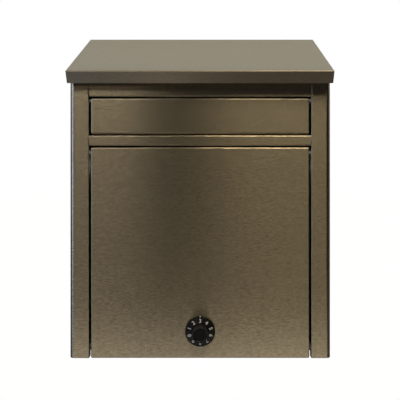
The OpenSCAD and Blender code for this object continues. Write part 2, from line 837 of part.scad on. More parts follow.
module wheel_spacers() {
    color([0.3, 0.3, 0.3]) on_lock()
        for (i = [1 : 3]) {
            front = wheel_first - i * wheel_pitch + wheel_pitch - wheel_t - wheel_gap;
            difference() {
                between(front, front - spacer_t, post_r + 2.5);
                between(front + through, front - spacer_t - through, post_r + press_gap);
            }
        }
}

module drive_wheel() {
    notch_w = 5;
    color([0.74, 0.63, 0.35]) on_lock() difference() {
        between(drive_front, drive_front - wheel_t, wheel_r);
        between(drive_front + through, drive_front - wheel_t - through, spindle_r + press_gap);
        translate([wheel_r - 4, -notch_w / 2, drive_front - wheel_t - through])
            cube([8, notch_w, wheel_t + 2 * through]);
    }
}

// Drawn unlocked, with its arm towards +X; a quarter turn drops the arm behind the floor's front lip
module lock_cam() {
    tip = 2.5;
    color([0.7, 0.69, 0.66]) on_lock() translate([0, 0, cam_front - cam_t]) linear_extrude(cam_t) difference() {
        union() {
            circle(cam_hub_r);
            polygon([
                [0, -cam_w / 2], [cam_reach - tip, -cam_w / 2], [cam_reach, -cam_w / 2 + tip],
                [cam_reach, cam_w / 2 - tip], [cam_reach - tip, cam_w / 2], [0, cam_w / 2]
            ]);
        }
        circle(boss_r + running_gap);
    }
}

module cam_washer() {
    color([0.75, 0.74, 0.7]) on_lock() difference() {
        between(washer_front, washer_front - washer_t, 2 * spindle_r);
        between(washer_front + through, washer_front - washer_t - through, spindle_r + press_gap);
    }
}

module cam_screw() {
    head_r = 4.4;
    head_t = 2.2;
    slot_w = 1;
    color([0.75, 0.74, 0.7]) on_lock() difference() {
        union() {
            between(spindle_rear, spindle_rear - head_t, head_r);
            between(spindle_rear + cam_screw_length, spindle_rear, screw_r);
        }
        translate([-head_r - through, -slot_w / 2, spindle_rear - head_t - through])
            cube([2 * (head_r + through), slot_w, 1 + through]);
    }
}

// ---- Rivets ----

module shell_rivets() {
    color([0.75, 0.74, 0.7]) in_frame()
        for (side = [left, right])
            for (z = side_rivet_z)
                translate([side * side_rivet_x, -2 * sheet, z]) rotate([-90, 0, 0]) rivet(2 * sheet);
}

module floor_rivets() {
    inner = body_w / 2 - 2 * sheet - floor_side_gap;
    color([0.75, 0.74, 0.7]) in_frame() {
        for (x = floor_rivet_x)
            translate([x, -2 * sheet, floor_rivet_z]) rotate([-90, 0, 0]) rivet(2 * sheet);
        for (side = [left, right])
            for (y = floor_rivet_y)
                translate([side * inner, y, floor_rivet_z]) rotate([0, side * 90, 0]) rivet(2 * sheet + floor_side_gap);
    }
}

module front_rivets() {
    inner = fixed_w / 2 - sheet;
    color([0.75, 0.74, 0.7]) in_frame()
        for (side = [left, right])
            for (place = concat(fascia_rivets, rail_rivets))
                translate([side * inner, place.x, place.y]) rotate([0, side * 90, 0]) rivet(2 * sheet + fixed_gap);
}

module hinge_rivets() {
    color([0.75, 0.74, 0.7]) in_frame()
        for (x = hinge_rivet_x)
            translate([x, -sheet - leaf_t, hinge_rivet_z]) rotate([-90, 0, 0]) rivet(sheet + leaf_t);
}

left_side_shell();
right_side_shell();
back_panel();
floor_panel();
top_fascia();
mid_rail();
lid_panel();
parcel_baffle();
lid_hinge_fixed_leaf();
lid_hinge_moving_leaf();
lid_hinge_pin();
lid_studs();
lid_nuts();
lid_bumper_left();
lid_bumper_right();
mail_flap();
flap_weight();
flap_pivot_pin_left();
flap_pivot_pin_right();
flap_bushing_left();
flap_bushing_right();
front_door();
door_stiffener();
door_pivot_pin_left();
door_pivot_pin_right();
door_bushing_left();
door_bushing_right();
door_bumper_left();
door_bumper_right();
lock_base_ring();
lock_dial();
dial_knob();
dial_spindle();
lock_housing();
lock_cover();
lock_screws();
tumbler_wheel_1();
tumbler_wheel_2();
tumbler_wheel_3();
wheel_spacers();
drive_wheel();
lock_cam();
cam_washer();
cam_screw();
shell_rivets();
floor_rivets();
front_rivets();
hinge_rivets();
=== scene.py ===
# Looks of a wall-mounted parcel and letter drop box in brushed steel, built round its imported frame.
# Metres. +X is right from the front, the front looks towards -Y, and +Z is up.
import math

import bmesh
import bpy
import numpy as np
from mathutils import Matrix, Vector


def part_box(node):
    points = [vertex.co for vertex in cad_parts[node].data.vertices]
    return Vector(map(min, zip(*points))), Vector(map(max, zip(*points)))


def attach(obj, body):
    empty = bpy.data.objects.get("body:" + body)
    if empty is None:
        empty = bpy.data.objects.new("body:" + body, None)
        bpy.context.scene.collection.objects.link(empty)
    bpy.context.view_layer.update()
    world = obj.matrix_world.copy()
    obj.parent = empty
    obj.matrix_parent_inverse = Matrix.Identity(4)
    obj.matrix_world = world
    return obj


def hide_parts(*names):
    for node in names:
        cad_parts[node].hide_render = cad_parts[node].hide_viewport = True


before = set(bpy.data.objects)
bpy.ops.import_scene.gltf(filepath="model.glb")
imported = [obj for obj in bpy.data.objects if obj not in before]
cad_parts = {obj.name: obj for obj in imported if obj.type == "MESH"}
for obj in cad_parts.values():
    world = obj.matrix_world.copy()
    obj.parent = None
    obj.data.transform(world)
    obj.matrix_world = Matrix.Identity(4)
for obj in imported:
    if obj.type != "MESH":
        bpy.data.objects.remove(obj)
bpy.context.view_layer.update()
mm = 0.001

# Places that the whole front shares, read from the frame
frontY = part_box("front_door")[0].y
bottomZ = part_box("front_door")[0].z
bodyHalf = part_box("right_side_shell")[1].x
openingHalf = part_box("right_side_shell")[0].x
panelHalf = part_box("front_door")[1].x
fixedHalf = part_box("mid_rail")[1].x
railLow, railHigh = (corner.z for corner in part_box("mid_rail"))
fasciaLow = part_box("top_fascia")[0].z
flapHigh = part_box("mail_flap")[1].z

sheetStock = {
    "thickness": 1.2 * mm,
    "bendRadius": 1.2 * mm,      # down the middle of the sheet
    "bendSteps": 10,
    "cutEdgeRadius": 0.16 * mm,  # on the sheared edges
    "weldDistance": 0.002 * mm,  # corners nearer than this become one
}


# A path with its inner corners turned into arcs. On each arc the point is the centre minus the radius times
# the normal, and the normal turns evenly from one straight run's left side to the next one's.
def bentRun(path, radii, steps=sheetStock["bendSteps"]):
    path = np.asarray(path, float)
    heading = np.diff(path, axis=0)
    heading /= np.linalg.norm(heading, axis=1)[:, None]
    left = np.stack([-heading[:, 1], heading[:, 0]], 1)
    points, normals = [path[:1]], [left[:1]]
    for i, radius in enumerate(radii):
        turn = math.atan2(left[i] @ heading[i + 1], heading[i] @ heading[i + 1])
        if radius == 0:
            points.append(path[i + 1:i + 2])
            normals.append(left[i:i + 1])
            continue
        side = math.copysign(1, turn)
        centre = path[i + 1] - radius * math.tan(abs(turn) / 2) * heading[i] + side * radius * left[i]
        angle = np.linspace(0, turn, steps + 1)[:, None]
        normal = np.cos(angle) * left[i] - np.sin(angle) * heading[i]
        points.append(centre - side * radius * normal)
        normals.append(normal)
    points.append(path[-1:])
    normals.append(left[-1:])
    return np.concatenate(points), np.concatenate(normals)


# The closed outline of a bent sheet: up one face of the run and back down the other, half a thickness away
def sheetOutline(path, radii, thickness=sheetStock["thickness"]):
    points, normals = bentRun(path, radii)
    return np.concatenate([points + normals * thickness / 2, (points - normals * thickness / 2)[::-1]])


# Corner numbers of the quads on a grid; a closed grid joins its last column to its first
def gridFaces(rows, columns, closed=False):
    i = np.arange(rows - 1)[:, None] * columns
    j = np.arange(columns if closed else columns - 1)[None, :]
    k = (j + 1) % columns
    return np.stack([i + j, i + k, i + columns + k, i + columns + j], -1).reshape(-1, 4)


# Quads across one end of a swept sheet: each joins a step of one face to the same step of the other
def endFaces(count, first=0):
    i = np.arange(count // 2 - 1)
    return first + np.stack([i, i + 1, count - 2 - i, count - 1 - i], -1)


# An outline carried through the stations: the point at each station is place(outline a, outline b, station)
def sweptSheet(outline, stations, place, ends=(True, True)):
    a, b = outline[None, :, 0], outline[None, :, 1]
    points = place(a, b, np.asarray(stations, float)[:, None]).reshape(-1, 3)
    rows, columns = len(stations), len(outline)
    faces = [gridFaces(rows, columns, closed=True)]
    faces += [endFaces(columns, first) for wanted, first in zip(ends, (0, (rows - 1) * columns)) if wanted]
    return points, np.concatenate(faces)


# A section in Y and Z that runs straight across the box
def across(y, z, x):
    return np.stack(np.broadcast_arrays(x, y, z), -1)


# A section in X and Y that runs straight up the box
def upright(x, y, z):
    return np.stack(np.broadcast_arrays(x, y, z), -1)


# A profile of [radius, distance ahead of the door] turned about the lock's axis: x and z are the radius times
# the sine and cosine of the angle. The radius may change with the angle through shape(radius, ahead, angle).
def turnedOnLock(profile, steps, axis, closed, shape=None):
    radius, ahead = (np.asarray(profile)[:, None, k] for k in (0, 1))
    angle = np.linspace(0, 2 * math.pi, steps, endpoint=False)[None, :]
    radius = shape(radius, ahead, angle) if shape else radius + 0 * angle
    x, z = axis[0] + radius * np.sin(angle), axis[1] + radius * np.cos(angle)
    points = np.stack([x, frontY - ahead + 0 * angle, z], -1).reshape(-1, 3)
    rows = len(profile)
    faces = gridFaces(rows, steps, closed=True)
    if closed:
        last, j = (rows - 1) * steps, np.arange(steps)
        k = (j + 1) % steps
        faces = np.concatenate([faces, np.stack([last + j, last + k, k, j], -1)])
    return points, faces


# A profile whose corners are rounded by the given radii
def roundedProfile(corners, radii, steps=6):
    return bentRun(corners, radii, steps)[0]


# The points and faces of several parts as one: each part's corner numbers start after the points before it
def joined(parts):
    points, faces, first = [], [], 0
    for partPoints, partFaces in parts:
        points.append(partPoints)
        faces.append(partFaces + first)
        first += len(partPoints)
    return np.concatenate(points), np.concatenate(faces)


# Welds the seams of a mesh and turns its faces outwards
def weldMesh(mesh, distance):
    weld = bmesh.new()
    weld.from_mesh(mesh)
    bmesh.ops.remove_doubles(weld, verts=weld.verts, dist=distance)
    bmesh.ops.recalc_face_normals(weld, faces=weld.faces)
    weld.to_mesh(mesh)
    weld.free()


# Makes the object from its parts, smooths it between its sharp edges and hangs it on its body
def makePiece(name, parts, body, replaces, material, sharp=40, cutEdge=0):
    points, faces = joined(parts)
    mesh = bpy.data.meshes.new(name)
    mesh.from_pydata(points.tolist(), [], faces.tolist())
    weldMesh(mesh, sheetStock["weldDistance"])
    mesh.polygons.foreach_set("use_smooth", np.ones(len(mesh.polygons), bool))
    mesh.materials.append(material)
    piece = bpy.data.objects.new(name, mesh)
    bpy.context.scene.collection.objects.link(piece)
    if cutEdge:
        bevel = piece.modifiers.new("cutEdges", "BEVEL")
        bevel.width, bevel.segments = cutEdge, 2
        bevel.limit_method, bevel.angle_limit = "ANGLE", math.radians(sharp)
    else:
        mesh.set_sharp_from_angle(angle=math.radians(sharp))
    flats = piece.modifiers.new("flatFaces", "WEIGHTED_NORMAL")
    flats.keep_sharp = not cutEdge
    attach(piece, body)
    if replaces:
        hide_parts(*replaces)
    return piece


# A node group with the given sockets, and its two end nodes
def newGroup(name, inputs, outputs):
    group = bpy.data.node_groups.new(name, "ShaderNodeTree")
    for label, kind, value in inputs:
        socket = group.interface.new_socket(label, in_out="INPUT", socket_type=kind)
        socket.default_value = value
    for label, kind in outputs:
        group.interface.new_socket(label, in_out="OUTPUT", socket_type=kind)
    return group, group.nodes.new("NodeGroupInput"), group.nodes.new("NodeGroupOutput")


# A node with its properties or sockets set by name, and its inputs linked
def addNode(tree, kind, values=(), links=()):
    node = tree.nodes.new(kind)
    for key, value in dict(values).items():
        if isinstance(key, str) and hasattr(node, key):
            setattr(node, key, value)
        else:
            node.inputs[key].default_value = value
    for key, source in dict(links).items():
        tree.links.new(source, node.inputs[key])
    return node


# One sum on two sockets or plain numbers
def mathNode(tree, operation, a, b):
    node = addNode(tree, "ShaderNodeMath", {"operation": operation})
    for socket, value in zip(node.inputs, (a, b)):
        if isinstance(value, (int, float)):
            socket.default_value = value
        else:
            tree.links.new(value, socket)
    return node.outputs[0]


# A colour made lighter or darker by a factor
def tonedColour(tree, colour, factor):
    grey = addNode(tree, "ShaderNodeCombineColor", links={0: factor, 1: factor, 2: factor}).outputs[0]
    node = addNode(tree, "ShaderNodeMix", {"data_type": "RGBA", "blend_type": "MULTIPLY"})
    node.inputs["Factor"].default_value = 1
    tree.links.new(colour, node.inputs[6])
    tree.links.new(grey, node.inputs[7])
    return node.outputs[2]


grain = {
    "hairlineScale": 2200,       # scales of the noise, per metre across the grain
    "scratchScale": 620,
    "streakScale": 120,
    "fleckScale": 520,
    "cloudScale": 26,
    "hairlineHeight": 0.45,      # shares of the bump
    "scratchHeight": 0.55,
    "fleckLength": 0.3,          # the least stretch of a fleck; a smaller one is longer
    "depth": 0.03 * mm,
}


# Brushing: noise drawn out along the grain. The tone is the middle of scratches and streaks times Tone, plus
# slow clouds times Clouding and short flecks times Flecks. Roughness follows scratches, streaks and clouds,
# and the bump follows hairlines and scratches.
def buildBrushing():
    group, given, result = newGroup(
        "brushing",
        [("Colour", "NodeSocketColor", (0.5, 0.5, 0.5, 1)), ("Stretch", "NodeSocketVector", (1, 1, 1)),
         ("Tone", "NodeSocketFloat", 0.1), ("Roughness", "NodeSocketFloat", 0.3),
         ("Roughness Spread", "NodeSocketFloat", 0.1), ("Clouding", "NodeSocketFloat", 0.1),
         ("Flecks", "NodeSocketFloat", 0.1), ("Fleck Stretch", "NodeSocketVector", (1, 1, 1))],
        [("Colour", "NodeSocketColor"), ("Roughness", "NodeSocketFloat"), ("Height", "NodeSocketFloat")],
    )
    place = addNode(group, "ShaderNodeTexCoord").outputs["Object"]

    def stretched(label):
        return addNode(group, "ShaderNodeVectorMath", {"operation": "MULTIPLY"},
                       {0: place, 1: given.outputs[label]}).outputs[0]

    def noise(vector, scale, detail, roughness):
        values = {"Scale": scale, "Detail": detail, "Roughness": roughness}
        return addNode(group, "ShaderNodeTexNoise", values, {"Vector": vector}).outputs["Fac"]

    def amount(value, label):
        return mathNode(group, "MULTIPLY", value, given.outputs[label])

    long, short = stretched("Stretch"), stretched("Fleck Stretch")
    hairlines = noise(long, grain["hairlineScale"], 2, 0.6)
    scratches = noise(long, grain["scratchScale"], 2, 0.6)
    streaks = noise(long, grain["streakScale"], 3, 0.6)
    clouds = noise(place, grain["cloudScale"], 4, 0.62)
    flecks = noise(short, grain["fleckScale"], 2, 0.7)
    mixed = mathNode(group, "ADD", mathNode(group, "MULTIPLY", scratches, 0.5),
                     mathNode(group, "MULTIPLY", streaks, 0.5))
    swing = mathNode(group, "SUBTRACT", mixed, 0.5)
    haze = mathNode(group, "SUBTRACT", clouds, 0.5)
    tone = mathNode(group, "ADD", amount(swing, "Tone"), amount(haze, "Clouding"))
    tone = mathNode(group, "ADD", tone, amount(mathNode(group, "SUBTRACT", flecks, 0.5), "Flecks"))
    colour = tonedColour(group, given.outputs["Colour"], mathNode(group, "ADD", tone, 1))
    spread = amount(mathNode(group, "ADD", swing, haze), "Roughness Spread")
    rough = mathNode(group, "ADD", given.outputs["Roughness"], spread)
    height = mathNode(group, "ADD", mathNode(group, "MULTIPLY", hairlines, grain["hairlineHeight"]),
                      mathNode(group, "MULTIPLY", scratches, grain["scratchHeight"]))
    for label, value in (("Colour", colour), ("Roughness", rough), ("Height", height)):
        group.links.new(value, result.inputs[label])
    return group


speckles = {
    "cells": 1.6,                # of noise across one grit size
    "mottleCoarser": 14,         # times the speckle's size
    "speckleShare": 0.4,
    "mottleShare": 0.6,
}


# Grit: fine speckle and slow mottling without a direction, for mouldings, castings and plain mill finishes.
# The swing is their weighted sum less a half, and the tone is one plus the swing times Tone.
def buildGrit():
    group, given, result = newGroup(
        "grit",
        [("Colour", "NodeSocketColor", (0.5, 0.5, 0.5, 1)), ("Size", "NodeSocketFloat", 1),
         ("Tone", "NodeSocketFloat", 0.1), ("Roughness", "NodeSocketFloat", 0.4),
         ("Roughness Spread", "NodeSocketFloat", 0.1)],
        [("Colour", "NodeSocketColor"), ("Roughness", "NodeSocketFloat"), ("Height", "NodeSocketFloat")],
    )
    place = addNode(group, "ShaderNodeTexCoord").outputs["Object"]
    size = mathNode(group, "MULTIPLY", given.outputs["Size"], mm)
    finer = mathNode(group, "DIVIDE", speckles["cells"], size)
    coarser = mathNode(group, "DIVIDE", finer, speckles["mottleCoarser"])

    def noise(scale, detail):
        return addNode(group, "ShaderNodeTexNoise", {"Detail": detail},
                       {"Vector": place, "Scale": scale}).outputs["Fac"]

    speckle, mottle = noise(finer, 2), noise(coarser, 4)
    mixed = mathNode(group, "ADD", mathNode(group, "MULTIPLY", speckle, speckles["speckleShare"]),
                     mathNode(group, "MULTIPLY", mottle, speckles["mottleShare"]))
    swing = mathNode(group, "SUBTRACT", mixed, 0.5)
    tone = mathNode(group, "ADD", mathNode(group, "MULTIPLY", swing, given.outputs["Tone"]), 1)
    rough = mathNode(group, "ADD", mathNode(group, "MULTIPLY", swing, given.outputs["Roughness Spread"]),
                     given.outputs["Roughness"])
    group.links.new(tonedColour(group, given.outputs["Colour"], tone), result.inputs["Colour"])
    group.links.new(rough, result.inputs["Roughness"])
    group.links.new(speckle, result.inputs["Height"])
    return group


brushing, grit = buildBrushing(), buildGrit()


# A material whose colour, roughness and height come from a group, and whose even values sit on the shader.
# With no spread the roughness is even too.
def finishMaterial(name, group, values, even, bumpStrength, bumpDepth):
    material = bpy.data.materials.new(name)
    material.use_nodes = True
    tree = material.node_tree
    shader = tree.nodes["Principled BSDF"]
    surface = tree.nodes.new("ShaderNodeGroup")
    surface.node_tree = group
    for label, value in values.items():
        surface.inputs[label].default_value = value
    tree.links.new(surface.outputs["Colour"], shader.inputs["Base Color"])
    if values["Roughness Spread"]:
        tree.links.new(surface.outputs["Roughness"], shader.inputs["Roughness"])
    else:
        shader.inputs["Roughness"].default_value = values["Roughness"]
    bump = addNode(tree, "ShaderNodeBump", {"Strength": bumpStrength, "Distance": bumpDepth},
                   {"Height": surface.outputs["Height"]})
    tree.links.new(bump.outputs["Normal"], shader.inputs["Normal"])
    for label, value in even.items():
        shader.inputs[label].default_value = value
    material.diffuse_color = values["Colour"]
    return material


# Brushed sheet: flecks are drawn out the same way as the grain, but never as far
def brushedMaterial(name, colour, stretch, roughness, tone=0.16, clouding=0.12, flecks=0.5, spread=0.12,
                    anisotropic=0.0, turn=0.0, bump=0.12):
    values = {"Colour": (*colour, 1), "Stretch": stretch, "Tone": tone, "Roughness": roughness,
              "Roughness Spread": spread, "Clouding": clouding, "Flecks": flecks,
              "Fleck Stretch": [max(grain["fleckLength"], part) for part in stretch]}
    even = {"Metallic": 1.0, "Anisotropic": anisotropic, "Anisotropic Rotation": turn}
    return finishMaterial(name, brushing, values, even, bump, grain["depth"])


# A moulded, cast or milled finish, whose grit size is in millimetres
def grittyMaterial(name, colour, size, roughness, metallic=0.0, tone=0.25, spread=0.2, bump=0.15,
                   specular=0.5):
    values = {"Colour": (*colour, 1), "Size": size, "Tone": tone, "Roughness": roughness,
              "Roughness Spread": spread}
    even = {"Metallic": metallic, "Specular IOR Level": specular}
    return finishMaterial(name, grit, values, even, bump, grain["depth"])


levelGrain = (0.035, 0.035, 1.0)   # long along X and Y, fine up and down
crossGrain = (0.035, 1.0, 1.0)     # long along X alone, for the roof
materials = {
    "frontSteel": brushedMaterial("frontSteel", (0.50, 0.42, 0.30), levelGrain, 0.27, tone=0.22,
                                  clouding=0.07, flecks=1.1, spread=0, anisotropic=1.0, turn=0.25,
                                  bump=0.05),
    "roofSteel": brushedMaterial("roofSteel", (0.545, 0.495, 0.41), crossGrain, 0.42, tone=0.10,
                                 clouding=0.08, flecks=0.35),
    # Partly painted shade: the lip's own brushing and roughness, with a tint darker than the roof's for the
    # shade on the down-turned lip
    "lipShadedSteel": brushedMaterial("lipShadedSteel", (0.53, 0.46, 0.36), levelGrain, 0.55, tone=0.12, clouding=0.06,
                                flecks=0.5, spread=0.03, anisotropic=0.9, turn=0.25),
    # Painted shade: a near-black steel that stands in for the shadow at the lid's front corners
    "paintedShadeSteel": brushedMaterial("paintedShadeSteel", (0.09, 0.08, 0.065), levelGrain, 0.5),
    "innerSteel": brushedMaterial("innerSteel", (0.52, 0.50, 0.45), levelGrain, 0.45, tone=0.2, clouding=0.2),
    "hingeSteel": brushedMaterial("hingeSteel", (0.60, 0.59, 0.56), levelGrain, 0.34),
    "fastenerSteel": grittyMaterial("fastenerSteel", (0.66, 0.65, 0.62), 0.5, 0.3, metallic=1.0, tone=0.2),
    "bushingNylon": grittyMaterial("bushingNylon", (0.78, 0.76, 0.70), 0.6, 0.45, tone=0.12),
    "stopRubber": grittyMaterial("stopRubber", (0.025, 0.025, 0.025), 0.8, 0.75, tone=0.5, bump=0.3),
    "dialBlack": grittyMaterial("dialBlack", (0.006, 0.0055, 0.0045), 0.5, 0.36, tone=0.5, spread=0.25,
                                specular=0.28),
    "lockBrass": grittyMaterial("lockBrass", (0.72, 0.52, 0.24), 0.6, 0.3, metallic=1.0, tone=0.25),
    "lockZinc": grittyMaterial("lockZinc", (0.55, 0.55, 0.54), 1.2, 0.42, metallic=1.0, tone=0.3),
    "spacerPlastic": grittyMaterial("spacerPlastic", (0.09, 0.09, 0.09), 0.6, 0.5),
    "markingPaint": grittyMaterial("markingPaint", (0.62, 0.62, 0.58), 0.4, 0.5, tone=0.2),
}
print("materials ready")


# The side shells, whose front corners are the columns
columns = {
    "cornerRadius": 8 * mm,      # outside
    "fullness": 0.8 * mm,        # how far a side wall stands out past the frame's
    "innerFold": 15.5 * mm,      # depth of the fold beside the opening
    "rearFlange": 15 * mm,
    "rearSheets": 1.5,           # from the wall to the middle of the rear flange, ahead of the back panel
    "roofGap": 2 * mm,
}

# The roof lid, whose underside the side shells follow
roof = {
    "slope": math.radians(20),
    "overhang": 24 * mm,         # ahead of the front face
    "eaveRise": 35.8 * mm,       # above the bottom of the fascia
    "skirtDepth": 20.1 * mm,
    "stepIn": 2 * mm,            # at the rear edge of a skirt
    "stepFrom": 0.2 * mm,        # below the sheet
    "skirtGap": 1.5 * mm,        # between a skirt and the side of the body
    "lipLength": 20.7 * mm,
    "lipLean": math.radians(34),
    "lipEndSteps": 14,
    "lipShadeBelow": 0.3 * mm,  # the lip's own finish, with its tint darkened as painted shade, starts this far below the roof's plane
    "lipShadeBehind": 1.55 * mm,    # and ends this far behind the front edge
}
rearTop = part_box("back_panel")[1].z
eaveY, eaveZ = frontY - roof["overhang"], fasciaLow + roof["eaveRise"]


# Height of the lid's underside: the eave's height, plus the distance behind it times the slope, less the
# sheet measured upright
def roofUnderside(y):
    return eaveZ + (y - eaveY) * math.tan(roof["slope"]) - sheetStock["thickness"] / math.cos(roof["slope"])


# A bent sheet carried straight up: each height is a share of the way from the bottom to the top, and the top
# is the lower of the back panel's top and the roof's underside
def buildColumn(side):
    t, bend = sheetStock["thickness"], sheetStock["bendRadius"]
    wallX, foldX, faceY = bodyHalf + columns["fullness"] - t / 2, openingHalf + t / 2, frontY + t / 2
    corner = columns["cornerRadius"] - t / 2
    levelY = (rearTop + columns["roofGap"] - roofUnderside(0)) / math.tan(roof["slope"])
    rearY = -columns["rearSheets"] * t
    path = [[bodyHalf - columns["rearFlange"], rearY], [wallX, rearY], [wallX, levelY], [wallX, faceY],
            [foldX, faceY], [foldX, frontY + columns["innerFold"]]]
    outline = sheetOutline(path, [bend, 0, corner, bend])

    def place(x, y, share):
        top = np.minimum(roofUnderside(y) - columns["roofGap"], rearTop)
        return upright(side * x, y, bottomZ + share * (top - bottomZ))

    return sweptSheet(outline, [0, 1], place)


for side, word in ((-1, "left"), (1, "right")):
    makePiece(f"{word}Column", [buildColumn(side)], "body", [f"{word}_side_shell"],
              materials["frontSteel"], cutEdge=sheetStock["cutEdgeRadius"])
print("columns built")


# The fascia under the roof, and the rail between flap and door
fixedPanels = {
    "fasciaBottomFold": 6 * mm,
    "fasciaTopFold": 16 * mm,
    "fasciaTabDepth": 14 * mm,
    "fasciaTabHeights": (4 * mm, 36 * mm),   # above the fascia's bottom
    "railFold": 12 * mm,
    "railTabDepth": 11 * mm,
    "railTabMargin": 2 * mm,                 # below the tab and above it
}


# A flat tab that stands square to the front, beside the column's inner fold
def endTab(side, low, high, depth):
    x = side * (fixedHalf - sheetStock["thickness"] / 2)
    outline = sheetOutline([[x, frontY + sheetStock["thickness"]], [x, frontY + depth]], [])
    return sweptSheet(outline, [low, high], upright)


# A bent sheet across the opening, whose top fold leans back with the roof: cosine along, sine up
def buildFascia():
    t, bend = sheetStock["thickness"], sheetStock["bendRadius"]
    faceY, low = frontY + t / 2, fasciaLow + t / 2
    fold = fixedPanels["fasciaTopFold"]
    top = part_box("top_fascia")[1].z - fold * math.sin(roof["slope"]) - t / 2 * math.cos(roof["slope"])
    path = [[frontY + fixedPanels["fasciaBottomFold"], low], [faceY, low], [faceY, top],
            [faceY + fold * math.cos(roof["slope"]), top + fold * math.sin(roof["slope"])]]
    tabLow, tabHigh = (fasciaLow + height for height in fixedPanels["fasciaTabHeights"])
    face = sweptSheet(sheetOutline(path, [bend, bend]), [-fixedHalf, fixedHalf], across)
    return [face] + [endTab(side, tabLow, tabHigh, fixedPanels["fasciaTabDepth"]) for side in (-1, 1)]


# A bent sheet across the opening, with a level fold at its bottom and its top
def buildRail():
    t, bend = sheetStock["thickness"], sheetStock["bendRadius"]
    faceY, innerY = frontY + t / 2, frontY + fixedPanels["railFold"]
    low, high = railLow + t / 2, railHigh - t / 2
    path = [[innerY, low], [faceY, low], [faceY, high], [innerY, high]]
    margin = fixedPanels["railTabMargin"]
    face = sweptSheet(sheetOutline(path, [bend, bend]), [-fixedHalf, fixedHalf], across)
    tabLow, tabHigh, depth = railLow + margin, railHigh - margin, fixedPanels["railTabDepth"]
    return [face] + [endTab(side, tabLow, tabHigh, depth) for side in (-1, 1)]


makePiece("topFascia", buildFascia(), "body", ["top_fascia"], materials["frontSteel"],
          cutEdge=sheetStock["cutEdgeRadius"])
makePiece("midRail", buildRail(), "body", ["mid_rail"], materials["frontSteel"],
          cutEdge=sheetStock["cutEdgeRadius"])
print("fascia and rail built")


# Along the roof's plane: run goes back and up from the front edge, rise stands square to it
def onRoof(x, run, rise):
    sine, cosine = math.sin(roof["slope"]), math.cos(roof["slope"])
    y = eaveY + run * cosine - rise * sine
    z = eaveZ + run * sine + rise * cosine
    return np.stack(np.broadcast_arrays(x, y, z), -1)


# The lid is two sheets. The shell's section is the flat and both skirts, carried from front to rear along the
# roof. The lip's section is carried from side to side, and meets the shell where its bend starts.
def buildLid():
    t, bend = sheetStock["thickness"], sheetStock["bendRadius"]
    lipTurn = math.pi / 2 + roof["lipLean"] - roof["slope"]
    seam = (t / 2 + bend) * math.tan(lipTurn / 2)      # where the roof's flat starts behind the lip's bend
    rear = (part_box("lid_panel")[1].z - eaveZ) / math.sin(roof["slope"])
    skirtX = bodyHalf + roof["skirtGap"] + t / 2
    depth, kink = roof["skirtDepth"], 2 * t            # a kink below each bend, where the step in ends
    path = [[-skirtX, -depth], [-skirtX, -kink], [-skirtX, -t / 2],
            [skirtX, -t / 2], [skirtX, -kink], [skirtX, -depth]]
    outline = sheetOutline(path, [0, bend, bend, 0])

    # The skirts' front edges follow the lip's lean, and their rear edges step in and stand upright
    def placeShell(x, rise, share):
        front = seam - np.clip(-rise - t / 2 - bend, 0, None) / math.tan(lipTurn)
        step = roof["stepIn"] * np.clip((-rise - t - roof["stepFrom"]) / (t - roof["stepFrom"]), 0, 1)
        back = rear - step - np.clip(-rise - kink, 0, None) * math.tan(roof["slope"])
        return onRoof(x, front + share * (back - front), rise)

    # At the front only the skirts are closed, because the flat runs on into the lip
    shell = sweptSheet(outline, [0, 1], placeShell, ends=(False, True))
    half = len(outline) // 2
    flat = np.isclose(np.abs(outline[:half, 0]), skirtX - bend) & (outline[:half, 1] > -t)
    inner = np.flatnonzero(flat)
    ends = endFaces(len(outline))
    skirtEnds = ends[(ends[:, 0] < inner[0]) | (ends[:, 0] >= inner[-1])]
    shell = (shell[0], np.concatenate([shell[1], skirtEnds]))

    lipAngle = lipTurn - math.pi
    corner = t / 2 * math.tan(lipTurn / 2)
    heading = np.array([math.cos(lipAngle), math.sin(lipAngle)])
    lipEnd = roof["lipLength"] * heading + t / 2 * np.array([-heading[1], heading[0]])
    lipOutline = sheetOutline([[seam, -t / 2], [corner, -t / 2], lipEnd], [bend])
    lipHalf, turn = skirtX - bend, bend + t / 2        # half the flat, and the radius of each end
    angle = np.linspace(0, math.pi / 2, roof["lipEndSteps"])[1:]
    reach = lipHalf + turn * np.sin(angle)
    stations = np.concatenate([-reach[::-1], [-lipHalf, lipHalf], reach])

    # Past the flat each end turns away on a circle: down where it meets the roof, and back below that
    def placeLip(run, rise, x):
        past = np.clip(np.abs(x) - lipHalf, 0, turn)
        drop = turn - np.sqrt(turn**2 - past**2)
        below = np.clip(-rise / turn, 0, 1)
        return onRoof(x, run + drop * below, rise - drop * (1 - below))

    # The section is open where it joins the flat, and closed at its turned ends
    points, faces = sweptSheet(lipOutline, stations, placeLip)
    along, station = faces % len(lipOutline), faces // len(lipOutline)
    onFlat = (station.min(1) >= len(reach)) & (station.max(1) <= len(reach) + 1)
    openFace = np.isin(along, [0, len(lipOutline) - 1]).all(1) & onFlat
    return [shell, (points, faces[~openFace])]


